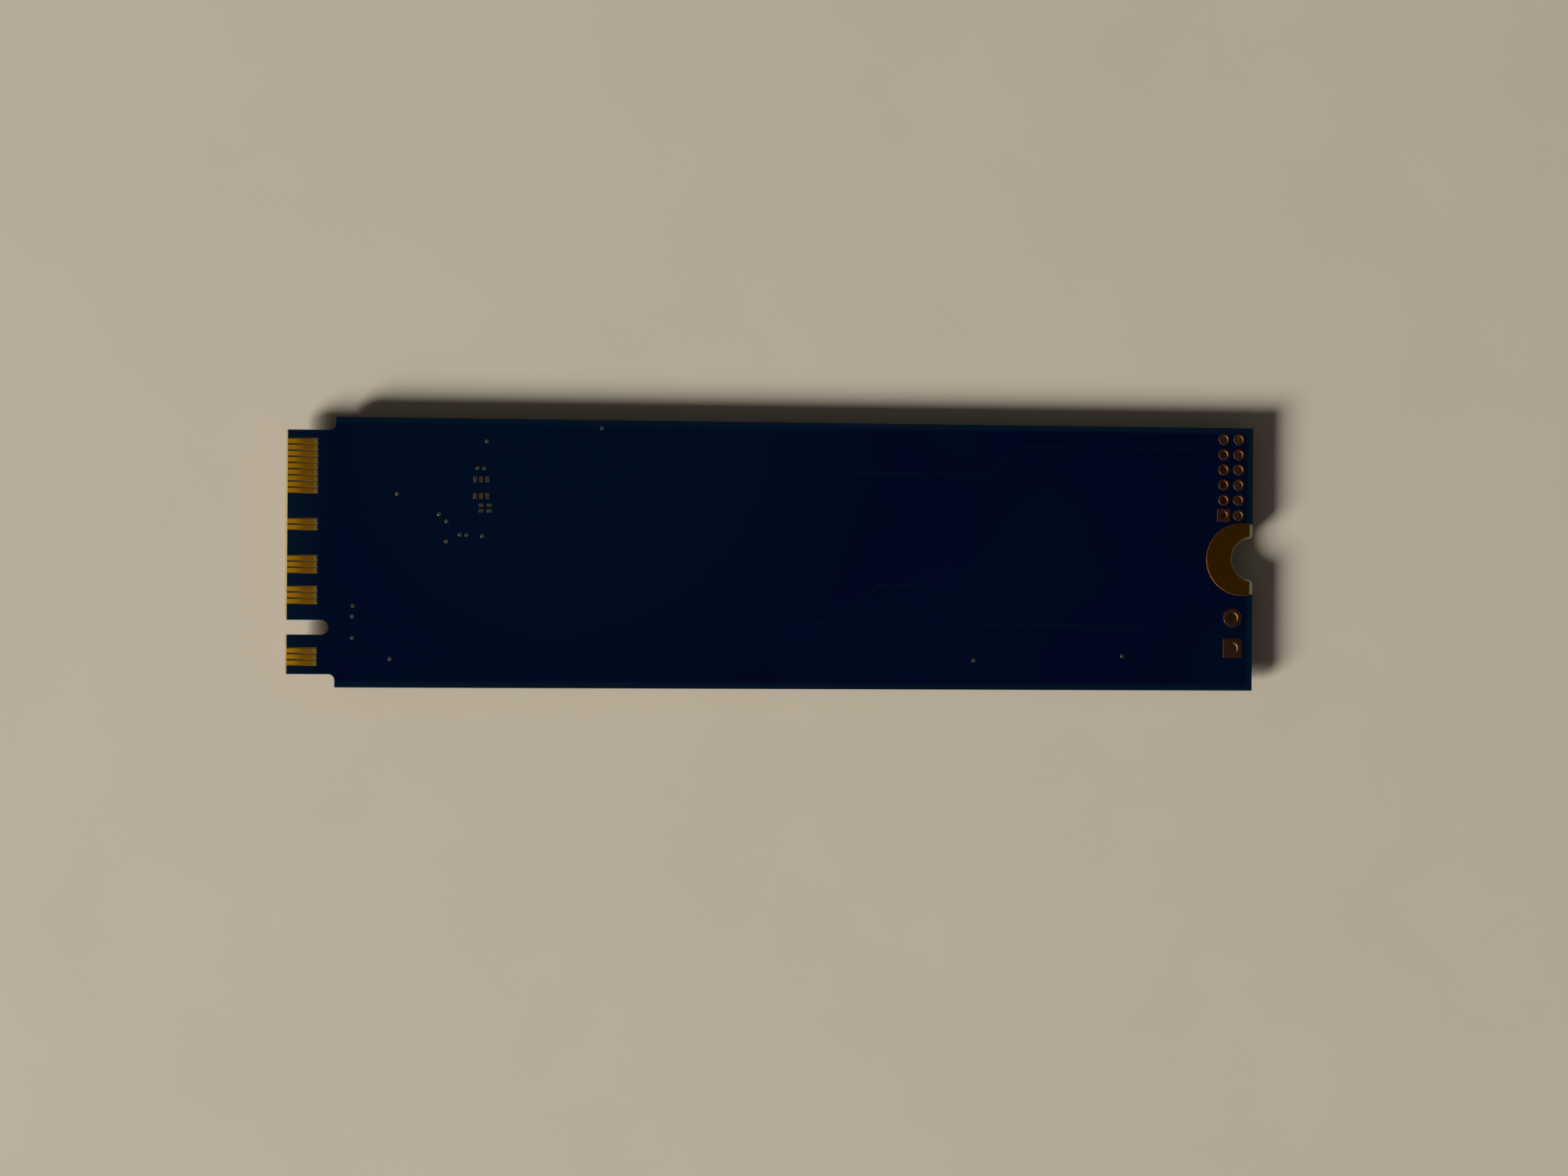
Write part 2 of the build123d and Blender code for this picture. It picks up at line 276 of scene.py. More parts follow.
def plated_hole():
    """A sleeve through the board with a round or square pad on each face."""
    p = Pattern("plated_hole")
    hole, pad, square = p.size("Hole"), p.size("Pad"), p.size("Square", "Bool")
    corner, wall, height, copper = p.size("Corner"), p.size("Wall"), p.size("Height"), p.size("Copper")
    round_outline = p.run("GeometryNodeCurvePrimitiveCircle", Resolution=PAD_SIDES, Radius=p.half(pad))
    square_outline = p.run("GeometryNodeCurvePrimitiveQuadrilateral", Width=pad, Height=pad)
    fillet = p.add("GeometryNodeFilletCurve", mode="POLY")
    square_outline = p.run(fillet, Curve=square_outline, Count=5, Radius=corner)
    outline = p.run("GeometryNodeSwitch", Switch=square, False_=round_outline, True_=square_outline)
    opening = p.run("GeometryNodeCurvePrimitiveCircle", Resolution=HOLE_SIDES, Radius=hole)
    plate = p.plate(p.join(outline, opening), copper)
    wall_middle = p.math("ADD", hole, p.half(wall))
    path = p.run("GeometryNodeCurvePrimitiveCircle", Resolution=HOLE_SIDES, Radius=wall_middle)
    wall_height = p.math("ADD", height, copper)
    section = p.run("GeometryNodeCurvePrimitiveQuadrilateral", Width=wall, Height=wall_height)
    sleeve = p.run("GeometryNodeCurveToMesh", Curve=path, Profile_Curve=section)
    lower = p.math("MULTIPLY_ADD", height, -0.5, p.math("MULTIPLY", copper, -1.0))
    return p.end(p.join(sleeve, p.moved(plate, p.half(height)), p.moved(plate, lower)))


def flat_pad():
    """A flat pad of copper with round corners. Its end towards -X can be left square."""
    p = Pattern("flat_pad")
    length, width, corner, copper = p.size("Length"), p.size("Width"), p.size("Corner"), p.size("Copper")
    outline = p.run("GeometryNodeCurvePrimitiveQuadrilateral", Width=length, Height=width)
    far_end = p.math("GREATER_THAN", p.axes(p.run("GeometryNodeInputPosition"))[0], 0.0)
    rounded = p.math("MAXIMUM", far_end, p.math("SUBTRACT", 1.0, p.size("Square End")))
    fillet = p.add("GeometryNodeFilletCurve", mode="POLY")
    outline = p.run(fillet, Curve=outline, Count=6, Radius=p.product(corner, rounded), Limit_Radius=True)
    return p.end(p.plate(outline, copper))


def ball_field():
    """Rows of solder balls with a bare window in the middle."""
    p = Pattern("ball_field")
    pitch, columns, rows = p.size("Pitch"), p.size("Columns", "Int"), p.size("Rows", "Int")
    reach_x = p.product(p.math("SUBTRACT", columns, 1.0), pitch)
    reach_y = p.product(p.math("SUBTRACT", rows, 1.0), pitch)
    grid = p.run("GeometryNodeMeshGrid", Size_X=reach_x, Size_Y=reach_y, Vertices_X=columns,
                 Vertices_Y=rows)
    x, y, _ = p.axes(p.run("GeometryNodeInputPosition"))
    bare_x = p.math("LESS_THAN", p.math("ABSOLUTE", x), p.half(p.size("Bare Width")))
    bare_y = p.math("LESS_THAN", p.math("ABSOLUTE", y), p.half(p.size("Bare Length")))
    kept = p.run("GeometryNodeDeleteGeometry", Geometry=grid, Selection=p.product(bare_x, bare_y))
    ball = p.run("GeometryNodeMeshUVSphere", Segments=8, Rings=5, Radius=0.5)
    diameter = p.size("Diameter")
    shape = p.vector(diameter, diameter, p.size("Height"))
    squat = p.run("GeometryNodeTransform", Geometry=ball, Scale=shape)
    return p.end(p.at_points(squat, kept))


def solder_fillet():
    """A hollow-faced wedge of solder that runs from the board up a chip's metal end, which faces +X."""
    p = Pattern("solder_fillet")
    reach, height, width = p.size("Reach"), p.size("Height"), p.size("Width")
    block = p.run("GeometryNodeMeshCube", Size=(1.0, 1.0, 1.0), Vertices_X=7, Vertices_Y=2, Vertices_Z=2)
    x, y, z = p.axes(p.run("GeometryNodeInputPosition"))
    along = p.math("ADD", x, 0.5)
    open_side = p.math("ADD", z, 0.5)
    turn = p.math("MULTIPLY", along, math.pi / 2)
    hollow_x = p.math("SUBTRACT", 1.0, p.math("SINE", turn))
    hollow_z = p.math("SUBTRACT", 1.0, p.math("COSINE", turn))
    corner_x = p.math("MAXIMUM", p.math("MULTIPLY_ADD", along, -2.0, 1.0), 0.0)
    corner_z = p.math("MAXIMUM", p.math("MULTIPLY_ADD", along, 2.0, -1.0), 0.0)
    out = p.math("MULTIPLY_ADD", open_side, p.math("SUBTRACT", hollow_x, corner_x), corner_x)
    down = p.math("MULTIPLY_ADD", open_side, p.math("SUBTRACT", hollow_z, corner_z), corner_z)
    place = p.vector(p.product(out, reach), p.product(y, width), p.product(down, height, -1.0))
    return p.end(p.run("GeometryNodeSetPosition", Geometry=block, Position=place))


# Meshes

def closed(mesh, smooth_angle=35.0):
    """Merges a mesh's doubles, turns its faces outwards and shades its gentle edges smooth."""
    work = bmesh.new()
    work.from_mesh(mesh)
    bmesh.ops.remove_doubles(work, verts=work.verts, dist=TOUCH)
    bmesh.ops.dissolve_degenerate(work, edges=work.edges, dist=TOUCH)
    bmesh.ops.recalc_face_normals(work, faces=work.faces)
    work.to_mesh(mesh)
    work.free()
    mesh.shade_smooth()
    mesh.set_sharp_from_angle(angle=math.radians(smooth_angle))
    return mesh


def plain_mesh(piece):
    """The mesh that a piece's modifiers make, which are then removed."""
    mesh = bpy.data.meshes.new_from_object(piece.evaluated_get(bpy.context.evaluated_depsgraph_get()))
    piece.modifiers.clear()
    piece.data = mesh
    return mesh


def only_finish(mesh, finish):
    """Gives every face of a mesh one finish."""
    mesh.materials.clear()
    mesh.materials.append(finish)
    mesh.polygons.foreach_set("material_index", [0] * len(mesh.polygons))


def linked(name, data):
    piece = bpy.data.objects.new(name, data)
    bpy.context.scene.collection.objects.link(piece)
    return piece


def grown(name, pattern, points, finish, **sizes):
    """A pattern's form at each point, a place and a turn in radians, as one plain mesh."""
    mesh = bpy.data.meshes.new(name)
    mesh.from_pydata([place for place, _ in points], [], [])
    turns = mesh.attributes.new("turn", "FLOAT", "POINT")
    turns.data.foreach_set("value", [turn for _, turn in points])
    piece = linked(name, mesh)
    modifier = piece.modifiers.new(pattern.name, "NODES")
    modifier.node_group = pattern
    given = {label.replace("_", " "): value for label, value in sizes.items()}
    given["Material"] = finish
    for socket in pattern.interface.items_tree:
        if socket.name in given:
            modifier[socket.identifier] = given[socket.name]
    only_finish(closed(plain_mesh(piece)), finish)
    return piece


def shade_by_flats(mesh):
    """Shades each corner by the faces of the first slot that meet there, and by the other faces elsewhere."""
    flats, rounds = {}, {}
    for face in mesh.polygons:
        sums = rounds if face.material_index else flats
        for corner in face.vertices:
            sums[corner] = sums.get(corner, Vector()) + face.normal * (face.area / MM ** 2)
    normals = {**rounds, **flats}
    mesh.normals_split_custom_set_from_vertices([normals[v.index].normalized() for v in mesh.vertices])


def eased(piece, width, segments=2):
    """Rounds the sharp edges of a piece, and keeps its flat faces flat."""
    piece.data.shade_smooth()
    piece.data.materials.append(piece.data.materials[0])
    bevel = piece.modifiers.new("edges", "BEVEL")
    bevel.width = width
    bevel.segments = segments
    bevel.limit_method = "ANGLE"
    bevel.angle_limit = math.radians(40.0)
    bevel.material = 1
    mesh = plain_mesh(piece)
    shade_by_flats(mesh)
    only_finish(mesh, mesh.materials[0])
    return piece


def eased_copy(name, width, finish):
    """A copy of a solid with its edges rounded."""
    mesh = solids[name].data.copy()
    work = bmesh.new()
    work.from_mesh(mesh)
    bmesh.ops.remove_doubles(work, verts=work.verts, dist=TOUCH)
    bmesh.ops.dissolve_limit(work, angle_limit=math.radians(1.0), verts=work.verts, edges=work.edges)
    work.to_mesh(mesh)
    work.free()
    only_finish(mesh, finish)
    return eased(linked(name + "_eased", mesh), width)


def united(name, *pieces):
    """One piece made of several."""
    work = bmesh.new()
    for piece in pieces:
        work.from_mesh(piece.data)
    mesh = pieces[0].data
    work.to_mesh(mesh)
    work.free()
    for piece in pieces:
        bpy.data.objects.remove(piece)
    return linked(name, mesh)


def stands_for(piece, slot, *names):
    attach(piece, "root")
    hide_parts(*names)


def bodies_of(name):
    """The separate bodies of a solid, as lists of their corners, from -X to +X and from -Y to +Y."""
    work = bmesh.new()
    work.from_mesh(solids[name].data)
    bmesh.ops.remove_doubles(work, verts=work.verts, dist=TOUCH)
    left = set(work.verts)
    bodies = []
    while left:
        reached = [left.pop()]
        for vert in reached:
            for edge in vert.link_edges:
                other = edge.other_vert(vert)
                if other in left:
                    left.remove(other)
                    reached.append(other)
        bodies.append([vert.co.copy() for vert in reached])
    work.free()
    return sorted(bodies, key=lambda body: tuple(round(v, 6) for v in middle_of(body)))


def limits_of(body):
    return [Vector(pick(v[axis] for v in body) for axis in range(3)) for pick in (min, max)]


def middle_of(body):
    low, high = limits_of(body)
    return (low + high) / 2


def size_of(body):
    low, high = limits_of(body)
    return high - low


def bore_of(body):
    """Radius of the hole through a body, from its upright middle line to its nearest corner."""
    middle = middle_of(body).xy
    nearest = min((corner.xy - middle).length for corner in body)
    return round(nearest / MM, 4) * MM


def seats_of(bodies, level):
    """Points at the middles of bodies, all at one level and not turned."""
    return [((*middle_of(body).xy, level), 0.0) for body in bodies]


def is_square(body):
    """Whether a body reaches the corner of its own box."""
    high = limits_of(body)[1]
    return any(abs(v.x - high.x) + abs(v.y - high.y) < 2 * TOUCH for v in body)


# Staging

def make_camera():
    """The photograph's view: nearly straight down on the card's bare back."""
    data = bpy.data.cameras.new("camera")
    data.sensor_width = 36.0
    data.lens = 54.14
    data.clip_start = 0.01
    camera = linked("camera", data)
    camera.location = (-0.01527, -0.00321, 0.19588)
    camera.rotation_euler = [math.radians(turn) for turn in (0.1294, -4.6813, 0.392)]
    bpy.context.scene.camera = camera


def make_lamp(distance=2.2, width=0.79, elevation=25.8, azimuth=214.2, level=0.87):
    """A soft lamp off the card's lower left, which lights a level surface to this share of its colour."""
    rise = math.radians(elevation)
    turn = math.radians(azimuth)
    data = bpy.data.lights.new("lamp", "AREA")
    data.shape = "DISK"
    data.size = width
    data.energy = level * (math.pi * distance) ** 2 / math.sin(rise)
    lamp = linked("lamp", data)
    towards = Vector((math.cos(turn) * math.cos(rise), math.sin(turn) * math.cos(rise), math.sin(rise)))
    lamp.location = distance * towards
    lamp.rotation_euler = towards.to_track_quat("Z", "Y").to_euler()


def make_surroundings(overhead=0.013, level=0.155, skirting=0.06, backdrop=0.45):
    """Dim light from a room's walls, darkest straight overhead and low down, where a pale backdrop shows."""
    world = bpy.data.worlds.new("room")
    world.use_nodes = True
    room = Nodes(world.node_tree)
    # Heights run from 0 at the horizon to 1 straight overhead
    wall_foot = (0.5, 0.72)
    wall_top = (0.78, 0.93)
    horizon = (0.05, 0.15)
    height = room.axes(room.add("ShaderNodeTexCoord").outputs["Generated"])[2]
    walls = room.step(height, *wall_foot, skirting, level)
    light = room.step(height, *wall_top, walls, overhead)
    rays = room.add("ShaderNodeLightPath").outputs
    mirrored = room.math("MAXIMUM", rays["Is Glossy Ray"], rays["Is Transmission Ray"])
    seen = room.math("MAXIMUM", rays["Is Camera Ray"], mirrored)
    pale = room.step(height, *horizon, backdrop, 0.0)
    strength = room.math("MAXIMUM", light, room.product(seen, pale))
    room.run(world.node_tree.nodes["Background"], Color=(1.0, 0.985, 0.96, 1.0), Strength=strength)
    bpy.context.scene.world = world


def make_floor(reach=0.7):
    work = bmesh.new()
    bmesh.ops.create_grid(work, x_segments=1, y_segments=1, size=reach)
    mesh = bpy.data.meshes.new("floor")
    work.to_mesh(mesh)
    work.free()
    f = Finish("floor_paint")
    shade = f.mix(f.noise(12 * MM, detail=4.0), (0.475, 0.412, 0.318), (0.505, 0.44, 0.343))
    mesh.materials.append(f.set(Base_Color=shade, Roughness=0.85, Specular_IOR_Level=0.1))
    linked("floor", mesh)


# Finish of the board

def contact_runs(name):
    """Lowest and highest y of each run of neighbouring contacts."""
    runs = []
    for body in sorted(bodies_of(name), key=lambda body: middle_of(body).y):
        low, high = limits_of(body)
        if runs and low.y - runs[-1][1] < NEIGHBOUR_GAP:
            runs[-1][1] = high.y
        else:
            runs.append([low.y, high.y])
    return runs


def bare_window(f, x, y, name):
    """1 where the mask is left open round the contacts."""
    share = 0.0
    for low, high in contact_runs(name):
        middle = (low + high) / 2
        half = (high - low) / 2 + MASK_MARGIN
        across = f.math("ABSOLUTE", f.math("SUBTRACT", y, middle))
        share = f.math("MAXIMUM", share, f.step(across, half, half + MASK_FADE, 1.0, 0.0))
    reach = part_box(name)[1].x + MASK_MARGIN
    return f.product(share, f.step(x, reach, reach + MASK_FADE, 1.0, 0.0))


def seam(f, start, stop):
    """1 on a narrow gap in the copper that runs straight between two places, in millimetres."""
    first = Vector((*start, 0.0)) * MM
    along = Vector((*stop, 0.0)) * MM - first
    here = f.run("ShaderNodeMapping", Vector=f.place, Location=-first, Scale=(1.0, 1.0, 0.0))
    dot = f.add("ShaderNodeVectorMath", operation="DOT_PRODUCT")
    f.feed(dot.inputs[0], here)
    dot.inputs[1].default_value = along / along.length_squared
    share = f.math("MINIMUM", f.math("MAXIMUM", dot.outputs["Value"], 0.0), 1.0)
    scaled = f.add("ShaderNodeVectorMath", operation="SCALE")
    scaled.inputs[0].default_value = along
    f.feed(scaled.inputs["Scale"], share)
    away = f.add("ShaderNodeVectorMath", operation="DISTANCE")
    f.feed(away.inputs[0], here)
    f.feed(away.inputs[1], scaled.outputs["Vector"])
    return f.step(away.outputs["Value"], GAP_WIDTH / 2, GAP_WIDTH, 1.0, 0.0)


def copper_under_mask(f, x, y):
    """1 where copper lies under the mask, less along edges, on the tongue and in the gaps between areas."""
    from_side = f.math("SUBTRACT", SIDE, f.math("ABSOLUTE", y))
    from_edge = f.math("MINIMUM", from_side, f.math("SUBTRACT", END, x))
    copper = f.step(from_edge, EDGE_BAND - EDGE_FADE, EDGE_BAND + EDGE_FADE)
    copper = f.product(copper, f.step(x, TIP - 0.5 * MM, CONTACT_REACH + 1.5 * MM))
    gaps = 0.0
    for corners in COPPER_GAPS:
        for start, stop in zip(corners, corners[1:]):
            gaps = f.math("MAXIMUM", gaps, seam(f, start, stop))
    return f.product(copper, f.math("MULTIPLY_ADD", gaps, -GAP_DEPTH, 1.0))


def mask_colour(f, copper):
    """Deep blue over copper, with large soft patches of green-blue, a broad green-blue patch of painted
    light, and paler over bare laminate.
    """
    deep = f.mix(f.noise(9 * MM, detail=2.0), (0.0, 0.0018, 0.0115), (0.0002, 0.0023, 0.0146))
    # Painted light: a broad green-blue pool of light painted on the mask round one place
    broad = f.step(f.away_from(-17.0 * MM, 11.0 * MM), 6.0 * MM, 34.0 * MM, 0.85, 0.0)
    patches = f.step(f.noise(14 * MM, detail=1.0), 0.4, 0.8)
    green_patches_and_painted_light = f.math("MAXIMUM", broad, f.math("MULTIPLY", patches, 0.45))
    deep = f.mix(green_patches_and_painted_light, deep, (0.0001, 0.0048, 0.0156))
    return f.mix(copper, (0.001, 0.0066, 0.0155), deep)


def laminate_colour(f, x, flat, notch):
    """Glass laminate: brown-green where it is bare, cream with fine layers where it is cut."""
    layers = f.noise(0.05 * MM, detail=2.0, at=f.stretched(0.04, 0.04, 1.0))
    cut = f.mix(layers, (0.16, 0.116, 0.042), (0.3, 0.228, 0.105))
    bare = f.mix(f.noise(0.15 * MM), (0.075, 0.042, 0.002), (0.11, 0.064, 0.004))
    bare = f.mix(f.step(x, TIP + 0.3 * MM, TIP + 2.3 * MM), (0.024, 0.0105, 0.0003), bare)
    outwards = f.step(x, END - 0.9 * MM, END - 0.2 * MM)
    margin = f.mix(outwards, (0.035, 0.032, 0.016), (0.1, 0.095, 0.055))
    bare = f.mix(notch, bare, margin)
    return f.mix(flat, cut, bare)


def board_finish():
    f = Finish("blue_mask_on_laminate")
    x, y, _ = f.axes(f.place)
    up = f.axes(f.normal)[2]
    flat = f.step(f.math("ABSOLUTE", up), 0.8, 0.95)
    from_notch = f.away_from(RING_X, 0.0)
    notch = f.step(from_notch, RING_RADIUS - MASK_FADE, RING_RADIUS + MASK_FADE, 1.0, 0.0)
    back_side = f.math("GREATER_THAN", up, 0.0)
    front_window = bare_window(f, x, y, "contacts_front")
    back_window = bare_window(f, x, y, "contacts_back")
    window = f.blend(back_side, front_window, back_window)
    open_area = f.math("MAXIMUM", notch, window)
    masked = f.product(flat, f.math("SUBTRACT", 1.0, open_area))
    copper = copper_under_mask(f, x, y)
    colour = f.mix(masked, laminate_colour(f, x, flat, notch), mask_colour(f, copper))
    peel = f.noise(0.35 * MM, detail=2.0)
    rough = f.blend(masked, 0.7, f.blend(peel, 0.16, 0.2))
    height = f.math("MULTIPLY_ADD", peel, 0.12, f.product(copper, masked))
    weave = f.noise(0.06 * MM, detail=2.0, at=f.stretched(0.05, 0.05, 1.0))
    fibres = f.relief(f.product(weave, f.math("SUBTRACT", 1.0, flat)), 0.01 * MM)
    return f.set(Base_Color=colour, Roughness=rough, Specular_IOR_Level=0.25,
                 Normal=f.relief(height, 0.004 * MM, over=fibres))


# Finishes of the metal

def contact_gold():
    """Hard gold, rubbed into streaks along the contacts, and brighter towards their tips."""
    f = Finish("contact_gold")
    x = f.axes(f.place)[0]
    streaks = f.noise(0.03 * MM, detail=4.0, rough=0.6, at=f.stretched(0.04, 1.0, 1.0))
    tip = f.step(x, TIP + 0.4 * MM, TIP + 1.7 * MM)
    inner = f.step(x, CONTACT_REACH - 0.3 * MM, CONTACT_REACH - 0.05 * MM, 0.0, 0.7)
    colour = f.mix(streaks, (0.55, 0.235, 0.002), (0.76, 0.335, 0.003))
    colour = f.mix(tip, f.mix(streaks, (0.78, 0.36, 0.003), (1.0, 0.49, 0.008)), colour)
    colour = f.mix(inner, colour, (0.82, 0.58, 0.27))
    rough = f.blend(tip, 0.42, f.blend(streaks, 0.33, 0.4))
    return f.set(Base_Color=colour, Metallic=1.0, Roughness=rough, Normal=f.relief(streaks, 0.0006 * MM))


def soft_gold(name, colour, dull, edge_rough):
    """Thin smooth gold, a little cloudy and finely scratched, with an edge of another roughness."""
    f = Finish(name)
    flat = f.step(f.math("ABSOLUTE", f.axes(f.normal)[2]), 0.85, 0.99)
    cloud = f.noise(0.5 * MM, detail=4.0)
    scratches = f.noise(0.02 * MM, detail=2.0, at=f.stretched(1.0, 0.06, 1.0))
    shade = f.mix(f.step(cloud, 0.3, 0.75), colour, dull)
    rough = f.blend(flat, edge_rough, f.blend(scratches, 0.18, 0.27))
    return f.set(Base_Color=shade, Metallic=1.0, Roughness=rough, Normal=f.relief(scratches, 0.0004 * MM))


def hole_plating():
    """Warm plating, smooth on the pads and rough inside the sleeves, whose walls are a darker copper that is
    partly painted shade inside the holes.
    """
    f = Finish("hole_plating")
    flat = f.step(f.math("ABSOLUTE", f.axes(f.normal)[2]), 0.75, 0.95)
    cloud = f.noise(0.12 * MM, detail=4.0)
    pad = f.mix(cloud, (0.64, 0.215, 0.085), (0.8, 0.34, 0.17))
    # The sleeves' walls are darker than the pads: partly their own duller copper, partly painted shade inside
    # the holes
    wall = f.mix(cloud, (0.44, 0.17, 0.055), (0.62, 0.3, 0.12))
    return f.set(Base_Color=f.mix(flat, wall, pad), Metallic=f.blend(flat, 0.6, 1.0),
                 Roughness=f.blend(flat, 0.45, 0.22), Normal=f.relief(cloud, 0.003 * MM))


def matt_metal(name, colour, grain, low, high):
    """Plated metal with a fine cloudy grain."""
    f = Finish(name)
    cloud = f.noise(grain, detail=5.0, rough=0.6)
    shade = f.mix(cloud, tuple(0.72 * part for part in colour), colour)
    return f.set(Base_Color=shade, Metallic=1.0, Roughness=f.blend(cloud, low, high),
                 Normal=f.relief(cloud, 0.05 * grain))


def brushed_cover():
    """A thin metal cover with fine lines along it."""
    f = Finish("crystal_cover_metal")
    lines = f.noise(0.015 * MM, detail=3.0, at=f.stretched(0.03, 1.0, 1.0))
    shade = f.mix(lines, (0.5, 0.46, 0.38), (0.7, 0.66, 0.58))
    return f.set(Base_Color=shade, Metallic=1.0, Roughness=f.blend(lines, 0.28, 0.4),
                 Normal=f.relief(lines, 0.001 * MM))


# Finishes of packages and chips

def grainy(name, dark, pale, grain, low, high, depth):
    """A moulded or fired body with a fine even grain."""
    f = Finish(name)
    fine = f.noise(grain, detail=4.0, rough=0.65)
    broad = f.noise(30 * grain, detail=2.0)
    shade = f.mix(f.math("MULTIPLY_ADD", broad, 0.5, f.math("MULTIPLY", fine, 0.5)), dark, pale)
    return f.set(Base_Color=shade, Roughness=f.blend(fine, low, high), Normal=f.relief(fine, depth))


def capacitor_ceramic():
    """Fired brown ceramic with the faint layers of its plates along its sides."""
    f = Finish("capacitor_brown")
    z = f.axes(f.place)[2]
    layers = f.math("ABSOLUTE", f.math("SINE", f.math("MULTIPLY", z, math.pi / (0.03 * MM))))
    grain = f.noise(0.03 * MM, detail=4.0)
    shade = f.mix(grain, (0.25, 0.16, 0.09), (0.4, 0.28, 0.17))
    shade = f.mix(f.math("MULTIPLY", layers, 0.25), shade, (0.2, 0.13, 0.075))
    return f.set(Base_Color=shade, Roughness=f.blend(grain, 0.4, 0.55),
                 Normal=f.relief(grain, 0.002 * MM))


def resistor_body():
    """White ceramic with a black glaze on the face away from the board."""
    f = Finish("resistor_glaze")
    outer = f.step(f.axes(f.normal)[2], -0.9, -0.6, 1.0, 0.0)
    grain = f.noise(0.04 * MM, detail=4.0)
    chalk = f.mix(grain, (0.62, 0.6, 0.56), (0.75, 0.74, 0.7))
    glaze = f.mix(grain, (0.014, 0.014, 0.016), (0.03, 0.03, 0.033))
    return f.set(Base_Color=f.mix(outer, chalk, glaze), Roughness=f.blend(outer, 0.6, 0.3),
                 Normal=f.relief(grain, 0.002 * MM))


def inductor_core():
    """Pressed metal powder with coarse grains."""
    f = Finish("inductor_powder")
    grains = f.grains(0.06 * MM)
    shade = f.mix(f.step(grains, 0.1, 0.7), (0.13, 0.13, 0.135), (0.055, 0.055, 0.058))
    return f.set(Base_Color=shade, Roughness=f.blend(grains, 0.45, 0.7),
                 Normal=f.relief(grains, -0.006 * MM))


# Pieces

def make_contacts(pattern, finish):
    for name, level in (("contacts_back", BACK), ("contacts_front", FRONT - COPPER)):
        bodies = bodies_of(name)
        size = size_of(bodies[0])
        piece = grown(name + "_rounded", pattern, seats_of(bodies, level), finish, Length=size.x,
                      Width=size.y, Corner=0.1 * MM, Copper=COPPER, Square_End=1.0)
        stands_for(eased(piece, width=0.008 * MM, segments=1), "gold", name)


def make_sleeves(pattern, name, finish):
    parts = []
    for square in (False, True):
        bodies = [body for body in bodies_of(name) if is_square(body) == square]
        points = [(middle_of(body), 0.0) for body in bodies]
        parts.append(grown(name, pattern, points, finish, Hole=bore_of(bodies[0]), Pad=size_of(bodies[0]).x,
                           Square=square, Corner=0.1 * MM, Wall=PLATING, Height=THICKNESS, Copper=COPPER))
    piece = united(name + "_sleeves", *parts)
    stands_for(eased(piece, width=0.015 * MM), "hole_plating", name)


def make_probe_spots(pattern, finish):
    bodies = bodies_of("test_pads")
    diameter = size_of(bodies[0]).x
    piece = grown("test_pads_round", pattern, seats_of(bodies, BACK), finish, Length=diameter,
                  Width=diameter, Corner=diameter / 2, Copper=COPPER, Square_End=0.0)
    stands_for(eased(piece, width=0.012 * MM), "hole_plating", "test_pads")


def make_spare_pads(pattern, finish):
    parts = []
    bodies = bodies_of("spare_pads")
    for upright in (True, False):
        group = [body for body in bodies if (size_of(body).y > size_of(body).x) == upright]
        size = size_of(group[0])
        parts.append(grown("spare_pads", pattern, seats_of(group, BACK), finish, Length=size.x,
                           Width=size.y, Corner=0.05 * MM, Copper=COPPER, Square_End=0.0))
    piece = united("spare_pads_rounded", *parts)
    stands_for(eased(piece, width=0.01 * MM), "hole_plating", "spare_pads")


def make_balls(pattern, name, finish, rows):
    node = name + "_balls"
    low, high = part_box(node)
    diameter = size_of(bodies_of(node)[0]).x
    piece = grown(name + "_solder", pattern, [((low + high) / 2, 0.0)], finish, Diameter=diameter,
                  Height=high.z - low.z, **rows)
    stands_for(piece, "solder", node)


def make_fillets(pattern, names, finish):
    """Solder between the board and the outer face of each chip's metal ends."""
    parts = []
    for name in names:
        ends = bodies_of(name)
        size = size_of(ends[0])
        chips = sorted(ends, key=lambda body: (round(middle_of(body).y, 6), middle_of(body).x))
        points = []
        for left, right in zip(chips[::2], chips[1::2]):
            low, high = limits_of(left)[0], limits_of(right)[1]
            points.append(((low.x, middle_of(left).y, FRONT), math.pi))
            points.append(((high.x, middle_of(right).y, FRONT), 0.0))
        parts.append(grown(name + "_fillets", pattern, points, finish, Reach=FILLET_REACH * size.z,
                           Height=FILLET_HEIGHT * size.z, Width=FILLET_WIDTH * size.y))
    piece = united("chip_solder", *parts)
    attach(piece, "root")


def make_eased(slot, finish, *names, edge):
    """Copies of solids with their edges rounded to this width."""
    for name in names:
        stands_for(eased_copy(name, edge, finish), slot, name)


def paint(finish, *names):
    for name in names:
        for slot in solids[name].material_slots:
            slot.material = finish


make_camera()
make_lamp()
make_surroundings()
make_floor()

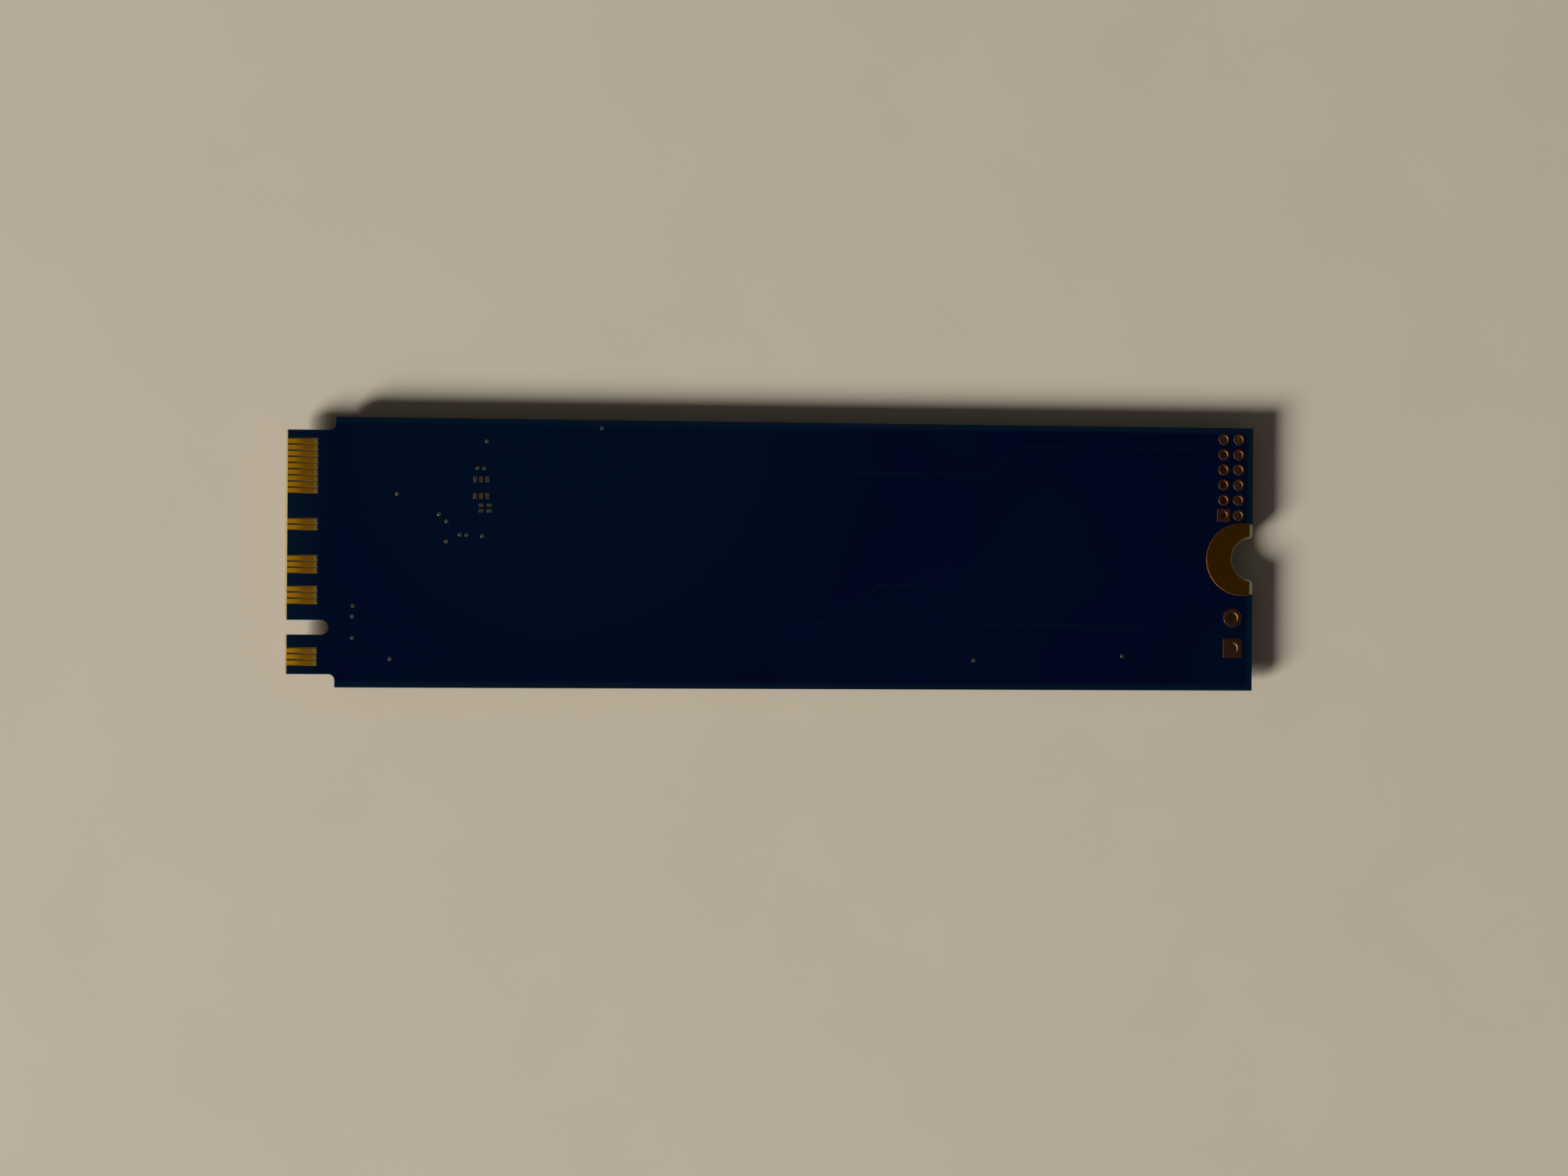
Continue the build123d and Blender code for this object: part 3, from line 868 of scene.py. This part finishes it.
paint(board_finish(), "board")
pads = flat_pad()
make_contacts(pads, contact_gold())
holes = plated_hole()
plating = hole_plating()
make_sleeves(holes, "header_holes", plating)
make_sleeves(holes, "jumper_holes", plating)
ring_gold = soft_gold("ring_gold", (0.92, 0.355, 0.006), dull=(0.78, 0.29, 0.006), edge_rough=0.6)
make_eased("gold", ring_gold, "screw_pad_back", "screw_pad_front", edge=0.008 * MM)
spot_metal = soft_gold("spot_metal", (0.95, 0.88, 0.7), dull=(0.8, 0.72, 0.56), edge_rough=0.5)
make_probe_spots(pads, spot_metal)
pad_metal = soft_gold("pad_metal", (0.98, 0.76, 0.36), dull=(0.86, 0.66, 0.44), edge_rough=0.5)
make_spare_pads(pads, pad_metal)

solder = matt_metal("solder", (0.72, 0.72, 0.72), grain=0.06 * MM, low=0.22, high=0.34)
balls = ball_field()
make_balls(balls, "controller", solder, CONTROLLER_ROWS)
make_balls(balls, "nand_1", solder, NAND_ROWS)
make_balls(balls, "nand_2", solder, NAND_ROWS)

epoxy = grainy("black_epoxy", (0.011, 0.011, 0.012), (0.024, 0.024, 0.026),
               grain=0.03 * MM, low=0.5, high=0.68, depth=0.004 * MM)
make_eased("moulding", epoxy, "controller_moulding", "nand_1_moulding", "nand_2_moulding",
           "power_chip", "load_switch", edge=0.06 * MM)
green = grainy("package_laminate", (0.012, 0.04, 0.02), (0.025, 0.07, 0.04),
               grain=0.05 * MM, low=0.35, high=0.5, depth=0.002 * MM)
make_eased("substrate", green, "controller_substrate", "nand_1_substrate", "nand_2_substrate",
           edge=0.015 * MM)
metal_ends = ["bulk_capacitor_ends", "coupling_capacitor_ends", "decoupling_capacitor_ends",
              "resistor_ends", "inductor_terminals"]
tin = matt_metal("matt_tin", (0.74, 0.73, 0.71), grain=0.05 * MM, low=0.34, high=0.5)
make_eased("tin", tin, *metal_ends, edge=0.02 * MM)
paint(tin, "power_chip_lands", "load_switch_lands")
make_eased("capacitor_ceramic", capacitor_ceramic(), "bulk_capacitors", "coupling_capacitors",
           "decoupling_capacitors", edge=0.02 * MM)
make_eased("resistor_ceramic", resistor_body(), "resistors", edge=0.015 * MM)
make_eased("inductor_core", inductor_core(), "inductor_1", "inductor_2", "inductor_3", edge=0.08 * MM)
ceramic = grainy("crystal_ceramic", (0.05, 0.042, 0.036), (0.11, 0.095, 0.082),
                 grain=0.03 * MM, low=0.5, high=0.65, depth=0.003 * MM)
make_eased("crystal_ceramic", ceramic, "crystal_base", edge=0.03 * MM)
make_eased("crystal_cover", brushed_cover(), "crystal_lid", edge=0.04 * MM)
make_fillets(solder_fillet(), metal_ends, solder)

scene = bpy.context.scene
scene.view_settings.view_transform = "Standard"
